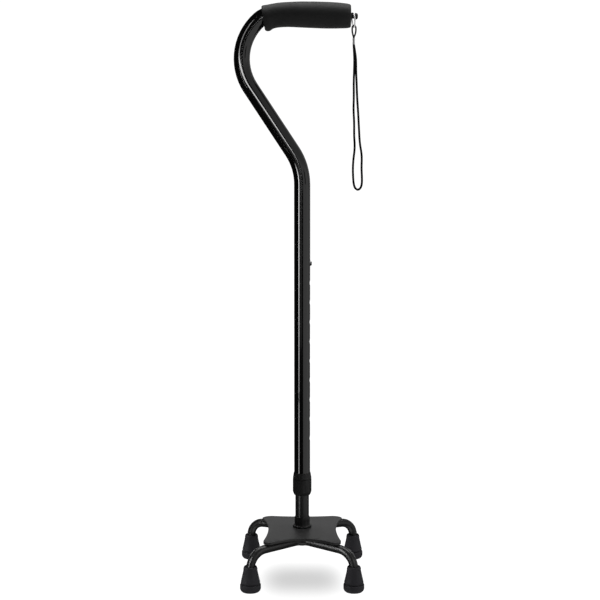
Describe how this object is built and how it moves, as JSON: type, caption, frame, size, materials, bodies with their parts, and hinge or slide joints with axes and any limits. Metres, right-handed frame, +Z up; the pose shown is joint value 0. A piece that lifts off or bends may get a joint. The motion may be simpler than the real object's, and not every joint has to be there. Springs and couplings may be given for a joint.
{
  "type": "quad walking cane",
  "caption": "Height-adjustable quad walking cane with an offset foam grip, push-button shaft lock, wrist strap and a low base on splayed rubber-tipped legs.",
  "frame": {"origin": "on the floor, where the shaft's axis meets it, midway between the feet", "axes": "+Z up along the shaft, +X the way the grip points, +Y towards the wider pair of feet"},
  "size_m": [0.1693, 0.1638, 0.7427],
  "materials": {
    "black_enamel": "gloss black stoved enamel on aluminium tube",
    "black_anodised": "satin black finish on aluminium tube",
    "base_enamel": "satin black powder coat on steel",
    "grip_foam": "black closed-cell foam, matt and slightly grained",
    "plug_plastic": "black moulded plastic, satin",
    "lock_plastic": "black moulded plastic, matt",
    "tip_rubber": "black moulded rubber",
    "strap_cord": "black round braided cord",
    "ring_metal": "bright plated steel wire",
    "crimp_metal": "plain aluminium, dull",
    "spring_steel": "bare spring steel",
    "button_metal": "plain steel, slightly worn",
    "zinc_steel": "zinc plated steel"
  },
  "bodies": {
    "base": {"base_plate": "base_enamel", "base_socket": "base_enamel", "front_leg_tube": "base_enamel", "rear_leg_tube": "base_enamel", "leg_welds": "base_enamel", "tip_front_left": "tip_rubber", "tip_front_right": "tip_rubber", "tip_rear_left": "tip_rubber", "tip_rear_right": "tip_rubber", "tip_washers": "zinc_steel", "stem_insert": "zinc_steel", "stem_stud": "zinc_steel", "stem_washer": "zinc_steel", "stem_nut": "zinc_steel", "nut_cover": "plug_plastic", "lower_tube": "black_anodised", "guide_bushing": "plug_plastic", "spring_clip": "spring_steel"},
    "button": {"snap_button": "button_metal"},
    "upper": {"upper_tube": "black_enamel", "foam_grip": "grip_foam", "grip_end_plug": "plug_plastic", "lock_bushing": "lock_plastic"},
    "collar": {"lock_collar": "lock_plastic"},
    "ring": {"strap_ring": "ring_metal"},
    "strap": {"strap_small_loop": "strap_cord", "strap_ferrule": "crimp_metal", "strap_loop": "strap_cord"}
  },
  "joints": [
    {"name": "height_slide", "type": "slide", "parent": "base", "child": "upper", "axis": [0, 0, 1], "range_m": [0, 0.2286], "deforming": ["snap_button", "spring_clip"]},
    {"name": "button_press", "type": "slide", "parent": "base", "child": "button", "axis": [-1, 0, 0], "range_m": [0, 0.0037], "stiffness_N_per_m": 2500, "springref_m": -0.001, "deforming": ["spring_clip"]},
    {"name": "collar_turn", "type": "hinge", "parent": "upper", "child": "collar", "pos_m": [0, 0, 0.117], "axis": [0, 0, 1], "range_deg": [0, 360]},
    {"name": "ring_swing", "type": "hinge", "parent": "upper", "child": "ring", "pos_m": [0.0646, 0, 0.7237], "axis": [1, 0, 0], "continuous": true},
    {"name": "strap_swing", "type": "hinge", "parent": "ring", "child": "strap", "pos_m": [0.0657, 0, 0.7099], "axis": [0, 1, 0], "range_deg": [-75, 3]}
  ]
}
